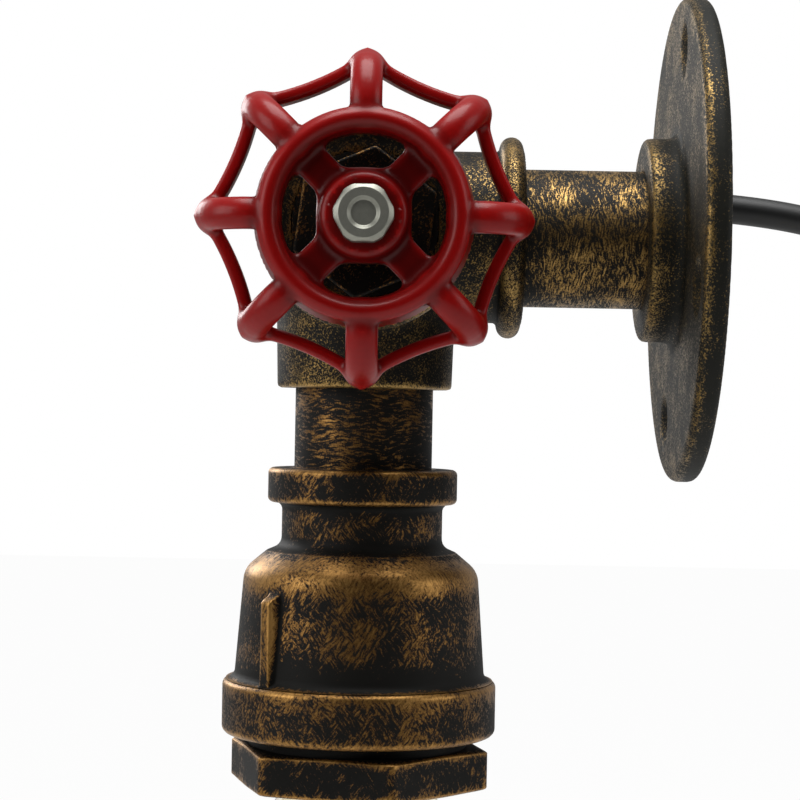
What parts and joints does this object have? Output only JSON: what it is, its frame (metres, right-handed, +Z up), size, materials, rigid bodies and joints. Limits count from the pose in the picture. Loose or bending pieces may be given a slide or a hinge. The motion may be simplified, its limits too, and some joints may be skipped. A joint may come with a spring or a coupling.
{
  "type": "wall_light",
  "caption": "Industrial pipe wall light: round wall plate, pipe nipple, elbow with a cast valve handwheel and a reducing socket lampholder holding a filament bulb",
  "frame": {"origin": "centre of the wall plate's back face, on the wall nipple's axis", "axes": "+Y out of the wall plate's back face into the wall, +Z up, +X the side the handwheel faces"},
  "size_m": [0.0986, 0.1527, 0.2672],
  "materials": {
    "bronzed_iron": "near-black iron fittings, dry-brushed antique bronze on edges and faces",
    "zinc_steel": "bright zinc plated steel",
    "brass": "bare brass contacts",
    "nickel": "nickel plated cap and wire",
    "black_phenolic": "moulded phenolic lampholder",
    "cord_sheath": "black PVC sheath",
    "brown_core": "brown PVC core",
    "blue_core": "blue PVC core",
    "earth_sleeve": "green and yellow PVC core",
    "copper_cores": "brown, blue and green-yellow PVC cores with bare copper ends",
    "red_enamel": "gloss deep red enamel",
    "white_insulator": "white cap insulator",
    "green_board": "printed circuit board",
    "amber_glass": "amber tinted clear glass",
    "clear_glass": "clear glass stem",
    "phosphor": "yellow phosphor on the lamp filaments"
  },
  "bodies": {
    "fixture": {"wall_flange": "bronzed_iron", "wall_nipple": "bronzed_iron", "side_outlet_elbow": "bronzed_iron", "drop_nipple": "bronzed_iron", "reducing_socket": "bronzed_iron", "hex_bush": "bronzed_iron", "port_plug": "bronzed_iron", "bolt_nut": "zinc_steel", "wheel_washer": "zinc_steel", "wheel_bolt": "zinc_steel", "hanger_washer": "zinc_steel", "hollow_stud": "zinc_steel", "upper_stud_nut": "zinc_steel", "lower_stud_nut": "zinc_steel", "earth_tag": "brass", "lampholder_body": "black_phenolic", "contact_block": "black_phenolic", "screw_shell": "brass", "centre_contact": "brass", "live_terminal": "brass", "neutral_terminal": "brass", "inner_flex": "cord_sheath", "mains_cord": "cord_sheath", "live_core": "brown_core", "neutral_core": "blue_core", "earth_core": "earth_sleeve", "tail_cores": "copper_cores"},
    "wheel": {"handwheel": "red_enamel"},
    "bulb": {"bulb_cap": "nickel", "cap_insulator": "white_insulator", "cap_contact": "brass", "driver_board": "green_board", "bulb_glass": "amber_glass", "glass_stem": "clear_glass", "led_filament_1": "phosphor", "led_filament_2": "phosphor", "led_filament_3": "phosphor", "led_filament_4": "phosphor", "upper_spider": "nickel", "lower_spider": "nickel", "live_lead": "nickel", "neutral_lead": "nickel"}
  },
  "joints": [
    {"name": "handwheel_turn", "type": "hinge", "parent": "fixture", "child": "wheel", "pos_m": [0.045, -0.0636, 0], "axis": [1, 0, 0], "continuous": true},
    {"name": "bulb_out", "type": "slide", "parent": "fixture", "child": "bulb", "axis": [0, 0, -1], "range_m": [0, 0.035]}
  ]
}
